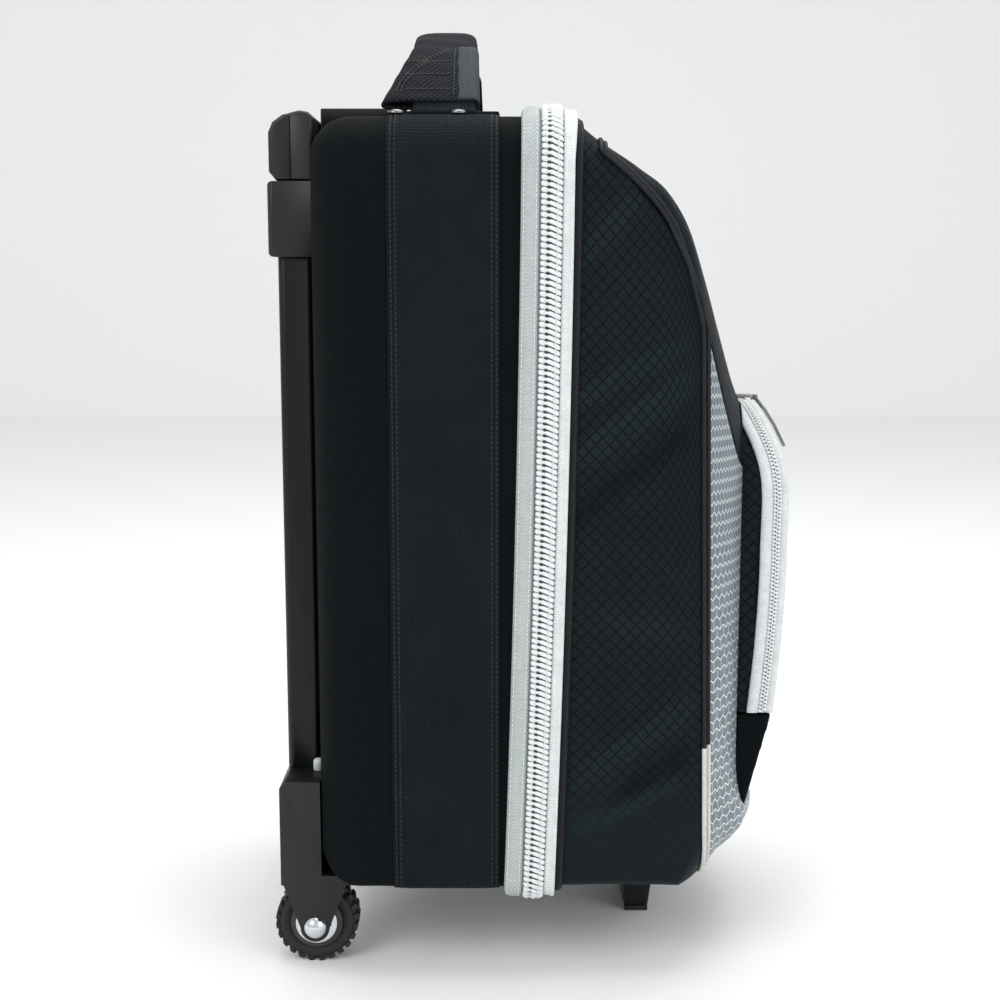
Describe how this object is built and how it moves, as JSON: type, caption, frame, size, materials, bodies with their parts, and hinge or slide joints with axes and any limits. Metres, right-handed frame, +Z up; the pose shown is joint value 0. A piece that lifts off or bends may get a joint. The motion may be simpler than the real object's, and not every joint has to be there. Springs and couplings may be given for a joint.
{
  "type": "bowling ball bag",
  "caption": "Upright roller bag for bowling balls with a telescopic tow handle, wheels, a zipped clamshell lid, a front pocket and a padded carry handle.",
  "frame": {"origin": "middle of the bag's footprint, on the floor", "axes": "+X towards the lid and pocket, +Y across the width towards the fabric hinge, +Z up"},
  "size_m": [0.383, 0.3148, 0.674],
  "materials": {
    "twill": "woven polyester twill, matt",
    "ripstop_black": "coated ripstop, satin",
    "ripstop_silver": "coated ripstop, silver grey",
    "webbing": "ribbed polyester webbing",
    "zip_tape": "woven zipper tape, pale grey",
    "zip_coil": "moulded nylon coil, white",
    "piping_dark": "bound piping",
    "piping_pale": "vinyl piping, off-white",
    "moulded_black": "moulded polypropylene, satin",
    "tube_dark": "dark anodised aluminium tube",
    "tube_bright": "anodised aluminium tube",
    "chrome": "plated steel",
    "nickel": "nickel-plated zinc",
    "tyre": "moulded rubber",
    "hub": "moulded nylon",
    "foam": "padded foam with lining",
    "board": "polyethylene sheet",
    "nylon_pale": "natural nylon",
    "steel": "zinc-plated steel",
    "rubber": "moulded rubber"
  },
  "bodies": {
    "rear_body": {"rear_shell": "twill", "back_board": "board", "base_board": "board", "ball_cradles": "foam", "ball_shelf": "foam", "webbing_near": "webbing", "webbing_far": "webbing", "handle_sleeve": "twill", "handle_strap": "webbing", "strap_rivets": "nickel", "top_bracket": "moulded_black", "housing_tie_bar": "moulded_black", "tube_plugs": "nylon_pale", "chassis_screws": "steel", "zip_tape_rear": "zip_tape", "zip_coil_rear": "zip_coil", "hinge_strip_rear": "twill", "lock_housing_near": "moulded_black", "outer_tube_near": "tube_dark", "wheel_chassis_near": "moulded_black", "axle_near": "chrome", "lock_housing_far": "moulded_black", "outer_tube_far": "tube_dark", "wheel_chassis_far": "moulded_black", "axle_far": "chrome"},
    "middle_stage": {"middle_tube_near": "tube_bright", "middle_tube_far": "tube_bright"},
    "grip_stage": {"inner_tube_near": "tube_bright", "inner_tube_far": "tube_bright", "grip_rear_half": "moulded_black", "grip_front_half": "moulded_black", "button_spring": "steel"},
    "button": {"release_button": "hub"},
    "wheel_near": {"hub_near": "hub", "hub_disc_near": "chrome", "tyre_near": "tyre"},
    "wheel_far": {"hub_far": "hub", "hub_disc_far": "chrome", "tyre_far": "tyre"},
    "lid": {"lid_gusset": "ripstop_black", "lid_front_panel": "ripstop_black", "silver_panels": "ripstop_silver", "piping_dark": "piping_dark", "piping_pale": "piping_pale", "zip_tape_front": "zip_tape", "zip_coil_front": "zip_coil", "hinge_strip_front": "twill", "top_tab": "webbing", "front_foot": "moulded_black", "foot_sole": "rubber", "foot_screws": "steel", "pocket_gusset": "ripstop_black", "pocket_toe": "twill", "pocket_zip_gusset": "zip_tape"},
    "pocket_front": {"pocket_flap": "ripstop_black", "pocket_zip_flap": "zip_tape"},
    "zip_slider": {"main_slider": "nickel"},
    "zip_pull": {"main_pull": "nickel"},
    "pocket_zip_slider": {"pocket_slider": "nickel"},
    "pocket_pull": {"pocket_puller": "nickel"}
  },
  "joints": [
    {"name": "middle_slide", "type": "slide", "parent": "rear_body", "child": "middle_stage", "axis": [0, 0, 1], "range_m": [0, 0.215]},
    {"name": "grip_slide", "type": "slide", "parent": "middle_stage", "child": "grip_stage", "axis": [0, 0, 1], "range_m": [0, 0.215]},
    {"name": "button_press", "type": "slide", "parent": "grip_stage", "child": "button", "axis": [0, 0, -1], "range_m": [0, 0.003], "stiffness_N_per_m": 400, "springref_m": -0.002, "deforming": ["button_spring"]},
    {"name": "wheel_near_spin", "type": "hinge", "parent": "rear_body", "child": "wheel_near", "pos_m": [-0.1615, -0.107, 0.03], "axis": [0, 1, 0], "continuous": true},
    {"name": "wheel_far_spin", "type": "hinge", "parent": "rear_body", "child": "wheel_far", "pos_m": [-0.1615, 0.107, 0.03], "axis": [0, 1, 0], "continuous": true},
    {"name": "lid_hinge", "type": "hinge", "parent": "rear_body", "child": "lid", "pos_m": [0.0025, 0.1574, 0.337], "axis": [0.0215, 0, 0.9998], "range_deg": [0, 110]},
    {"name": "pocket_hinge", "type": "hinge", "parent": "lid", "child": "pocket_front", "pos_m": [0.1725, 0, 0.182], "axis": [0, 1, 0], "range_deg": [0, 70]},
    {"name": "zip_slider_slide", "type": "slide", "parent": "rear_body", "child": "zip_slider", "axis": [0, 1, 0], "range_m": [-0.2, 0.008]},
    {"name": "zip_pull_swing", "type": "hinge", "parent": "zip_slider", "child": "zip_pull", "pos_m": [0.00845, 0.095, 0.6166], "axis": [-1, 0, 0], "range_deg": [0, 150]},
    {"name": "pocket_slider_slide", "type": "slide", "parent": "pocket_front", "child": "pocket_zip_slider", "axis": [0, 1, 0], "range_m": [-0.02, 0.04]},
    {"name": "pocket_pull_swing", "type": "hinge", "parent": "pocket_zip_slider", "child": "pocket_pull", "pos_m": [0.167, -0.012, 0.4062], "axis": [0, -1, 0], "range_deg": [0, 120]}
  ],
  "couplings": [
    {"joint": "grip_slide", "follows": "middle_slide", "ratio": 1}
  ]
}
